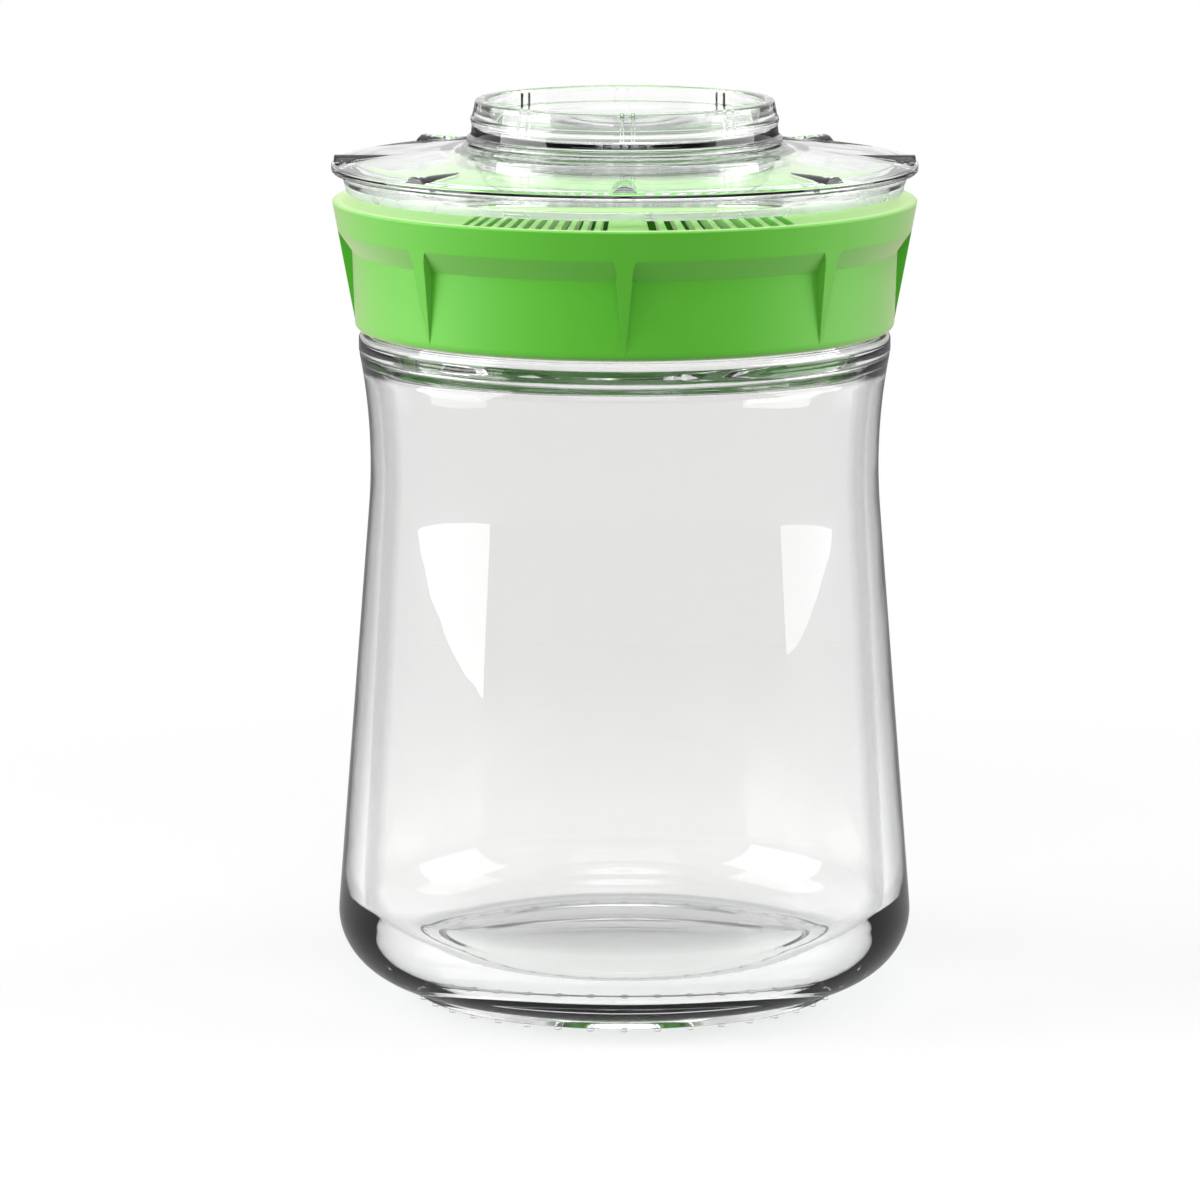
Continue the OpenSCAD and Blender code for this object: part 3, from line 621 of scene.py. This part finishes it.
# Camera
def make_camera():
    elevation, distance, focal_px = 9.081, 1413.7, 7464.7
    target = Vector((0, 0, 85))
    back = Vector((0, -cos(elevation), sin(elevation)))
    up = Vector((0, sin(elevation), cos(elevation)))
    place = target + back * distance
    per_px = distance / focal_px
    aim = target + Vector((-24.5 * per_px, 0, 0)) - up * (53.5 * per_px)
    cam = bpy.data.cameras.new("camera")
    cam.sensor_width = 36
    cam.lens = focal_px * 36 / 1200
    cam.clip_start, cam.clip_end = 0.05, 60
    obj = bpy.data.objects.new("camera", cam)
    obj.location = place * MM
    obj.rotation_mode = "QUATERNION"
    obj.rotation_quaternion = (aim - place).to_track_quat("-Z", "Y")
    scene.collection.objects.link(obj)
    scene.camera = obj


# Floor, world and lamps
def seen(nodes, links, *names):
    """A value of 1 for the named kinds of ray."""
    light = nodes.new("ShaderNodeLightPath")
    total = None
    for name in names:
        if total is None:
            total = light.outputs[name]
            continue
        both = nodes.new("ShaderNodeMath")
        both.operation = "MAXIMUM"
        links.new(total, both.inputs[0])
        links.new(light.outputs[name], both.inputs[1])
        total = both.outputs[0]
    return total


def weighted(nodes, links, weights):
    """A sum of light path outputs, each times its own weight."""
    light = nodes.new("ShaderNodeLightPath")
    total = None
    for name, weight in weights.items():
        part = nodes.new("ShaderNodeMath")
        part.operation = "MULTIPLY_ADD"
        part.inputs[1].default_value = weight
        part.inputs[2].default_value = 0.0
        links.new(light.outputs[name], part.inputs[0])
        if total is not None:
            links.new(total, part.inputs[2])
        total = part.outputs[0]
    return total


def make_floor():
    """A white floor that keeps the shadow. It is dimmer in reflections and in bounced light."""
    m, nodes, links = new_material("floor")
    out = nodes.new("ShaderNodeOutputMaterial")
    matte = nodes.new("ShaderNodeBsdfDiffuse")
    tone = nodes.new("ShaderNodeCombineColor")
    albedo = weighted(nodes, links, {"Is Camera Ray": 0.52, "Is Transmission Ray": 0.50,
                                     "Is Diffuse Ray": 0.34, "Is Glossy Ray": 0.26})
    for channel in ("Red", "Green", "Blue"):
        links.new(albedo, tone.inputs[channel])
    links.new(tone.outputs[0], matte.inputs["Color"])
    glow = nodes.new("ShaderNodeEmission")
    glow.inputs["Color"].default_value = (1, 1, 1, 1)
    lift = weighted(nodes, links, {"Is Camera Ray": 0.22, "Is Transmission Ray": 0.10})
    links.new(lift, glow.inputs["Strength"])
    near = nodes.new("ShaderNodeAddShader")
    links.new(matte.outputs[0], near.inputs[0])
    links.new(glow.outputs[0], near.inputs[1])
    white = nodes.new("ShaderNodeEmission")
    white.inputs["Color"].default_value = (1, 1, 1, 1)
    coords = nodes.new("ShaderNodeTexCoord")
    far = nodes.new("ShaderNodeVectorMath")
    far.operation = "LENGTH"
    links.new(coords.outputs["Object"], far.inputs[0])
    fade = nodes.new("ShaderNodeMapRange")
    fade.interpolation_type = "SMOOTHSTEP"
    fade.inputs["From Min"].default_value = 0.10
    fade.inputs["From Max"].default_value = 0.34
    links.new(far.outputs["Value"], fade.inputs["Value"])
    both_rays = nodes.new("ShaderNodeMath")
    both_rays.operation = "MULTIPLY"
    links.new(fade.outputs["Result"], both_rays.inputs[0])
    links.new(seen(nodes, links, "Is Camera Ray", "Is Transmission Ray"), both_rays.inputs[1])
    blend = nodes.new("ShaderNodeMixShader")
    links.new(both_rays.outputs[0], blend.inputs["Fac"])
    links.new(near.outputs[0], blend.inputs[1])
    links.new(white.outputs[0], blend.inputs[2])
    links.new(blend.outputs[0], out.inputs["Surface"])
    rows = [ring(r, 0, even(96)) for r in (0, 300, 900, 3000, 12000)]
    floor = mesh_object("studio_floor", *sweep(rows, closed=False))
    floor.data.materials.append(m)
    if floor.data.polygons[0].normal.z < 0:
        floor.data.flip_normals()


def make_world():
    world = bpy.data.worlds.new("studio")
    scene.world = world
    world.use_nodes = True
    nodes, links = world.node_tree.nodes, world.node_tree.links
    nodes.clear()
    out = nodes.new("ShaderNodeOutputWorld")
    fill = nodes.new("ShaderNodeBackground")
    fill.inputs["Color"].default_value = (1, 1, 1, 1)
    fill.inputs["Strength"].default_value = 0.5
    white = nodes.new("ShaderNodeBackground")
    white.inputs["Color"].default_value = (1, 1, 1, 1)
    white.inputs["Strength"].default_value = 1.0
    room = nodes.new("ShaderNodeBackground")
    room.inputs["Strength"].default_value = 1.0
    coords = nodes.new("ShaderNodeTexCoord")
    axes = nodes.new("ShaderNodeSeparateXYZ")
    links.new(coords.outputs["Generated"], axes.inputs[0])
    # the side of the room towards -Y is greyer, which gives the clear pieces their soft reflections
    tone = ramp(nodes, [(0.0, (0.08, 0.08, 0.08)), (0.22, (0.14, 0.14, 0.14)), (0.34, (1, 1, 1))])
    grey = nodes.new("ShaderNodeMapRange")
    grey.inputs["From Min"].default_value = -1.0
    grey.inputs["From Max"].default_value = 1.0
    links.new(axes.outputs["Y"], grey.inputs["Value"])
    links.new(grey.outputs["Result"], tone.inputs["Fac"])
    links.new(tone.outputs["Color"], room.inputs["Color"])
    a = nodes.new("ShaderNodeMixShader")
    links.new(seen(nodes, links, "Is Glossy Ray"), a.inputs["Fac"])
    links.new(fill.outputs[0], a.inputs[1])
    links.new(room.outputs[0], a.inputs[2])
    b = nodes.new("ShaderNodeMixShader")
    links.new(seen(nodes, links, "Is Camera Ray", "Is Transmission Ray"), b.inputs["Fac"])
    links.new(a.outputs[0], b.inputs[1])
    links.new(white.outputs[0], b.inputs[2])
    links.new(b.outputs[0], out.inputs["Surface"])


def make_lamp(name, place, size, power, target=(0, 0, 0.1)):
    lamp = bpy.data.lights.new(name, "AREA")
    lamp.shape = "RECTANGLE"
    lamp.size, lamp.size_y = size
    lamp.energy = power
    obj = bpy.data.objects.new(name, lamp)
    obj.location = place
    obj.rotation_mode = "QUATERNION"
    obj.rotation_quaternion = (Vector(target) - Vector(place)).to_track_quat("-Z", "Y")
    scene.collection.objects.link(obj)
    obj.visible_camera = False
    return obj


# The whole scene
make_camera()
make_floor()
make_world()
make_lamp("left_light", (-1.25, -0.15, 0.45), (1.1, 1.3), 23)
make_lamp("right_light", (1.3, 0.05, 0.45), (1.0, 1.3), 15)
make_lamp("top_light", (0.1, -0.1, 1.6), (1.3, 1.3), 10)
make_lamp("key_light", (0.0, -1.0, 1.1), (1.2, 1.2), 6)

# jar glass: a slight grey tint square on, falling to dark grey at grazing angles as painted shade on its edges
glass = clear_material("jar_glass", 1.5, [(0.0, (0.885, 0.885, 0.88)), (0.62, (0.90, 0.90, 0.90)),
                                          (0.72, (0.48, 0.49, 0.49)), (0.95, (0.32, 0.33, 0.33))],
                       (0.0, 0.012), 60, 0.03, (0.90, 0.91, 0.91))
# clear plastic: nearly clear square on, a little greyer at grazing angles as painted shade on its edges
plastic = clear_material("clear_plastic", 1.49, [(0.0, (0.985, 0.99, 0.985)), (0.7, (0.97, 0.975, 0.975)),
                                                (0.95, (0.88, 0.89, 0.89))],
                         (0.01, 0.03), 120, 0.02, (0.93, 0.94, 0.94))
silicone = silicone_material()
green = green_material()

for make, node, body, material, slot in (
    (make_jar, "glass_jar", "jar", glass, "jar_glass"),
    (make_gasket, "jar_gasket", "gasket", silicone, "clear_silicone"),
    (make_cover, "cover", "cover", plastic, "clear_plastic"),
    (make_cover_seal, "cover_seal", "seal", silicone, "clear_silicone"),
    (make_cap, "cap", "cap", plastic, "clear_plastic"),
    (make_cap_ring, "cap_seal", "cap", silicone, "clear_silicone"),
    (make_valve, "airlock_valve", "valve", silicone, "clear_silicone"),
):
    piece = make()
    paint(piece, material, slot)
    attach(piece, body)
    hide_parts(node)
paint(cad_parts["collar_ring"], green, "green_plastic")

scene.view_settings.view_transform = "Standard"
scene.cycles.max_bounces = 24
scene.cycles.transmission_bounces = 20
scene.cycles.transparent_max_bounces = 16
